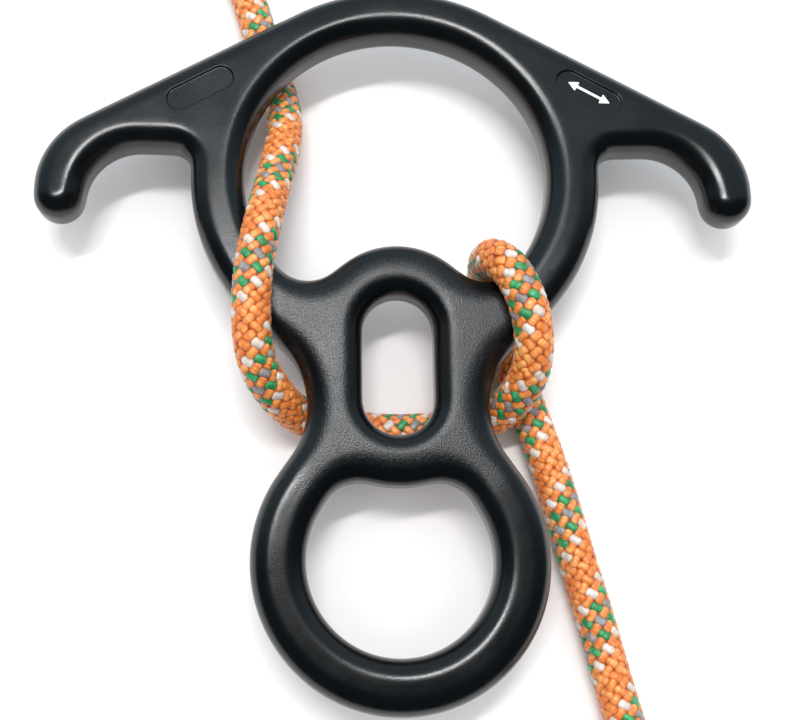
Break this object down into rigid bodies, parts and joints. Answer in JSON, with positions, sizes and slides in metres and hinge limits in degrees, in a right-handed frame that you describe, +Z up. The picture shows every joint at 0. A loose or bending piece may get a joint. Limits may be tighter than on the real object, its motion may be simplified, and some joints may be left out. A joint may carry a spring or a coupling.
{
  "type": "rescue figure-eight rope descender",
  "caption": "Black anodised figure-eight rope descender with two down-turned ears and a slotted neck, rigged with a short orange kernmantle rope.",
  "frame": {"origin": "middle of the descender's bounding box, without the rope", "axes": "+X to the right ear, +Y from the small carabiner eye to the big rope ring, +Z up through the thickness; the descender lies flat"},
  "size_m": [0.197, 0.2554, 0.0361],
  "materials": {
    "black_anodised_alloy": "satin black anodised forging, fine grain on the web",
    "kernmantle_rope": "braided polyester sheath, orange with green, white and grey flecks",
    "shrink_sleeve": "black heat-shrink tube",
    "white_paint": "thin white paint mark"
  },
  "bodies": {
    "descender": {"descender_body": "black_anodised_alloy", "rope_wrap": "kernmantle_rope"},
    "load_strand": {"rope_load_strand": "kernmantle_rope", "load_end_sleeve": "shrink_sleeve"},
    "brake_strand": {"rope_brake_strand": "kernmantle_rope", "brake_end_sleeve": "shrink_sleeve"}
  },
  "joints": [
    {"name": "load_strand_swing", "type": "hinge", "parent": "descender", "child": "load_strand", "pos_m": [-0.0376, 0.09, -0.0125], "axis": [0, 0, 1], "range_deg": [-25, 25]},
    {"name": "brake_strand_swing", "type": "hinge", "parent": "descender", "child": "brake_strand", "pos_m": [0.0376, -0.022, -0.0125], "axis": [0, 0, 1], "range_deg": [-20, 45]}
  ]
}
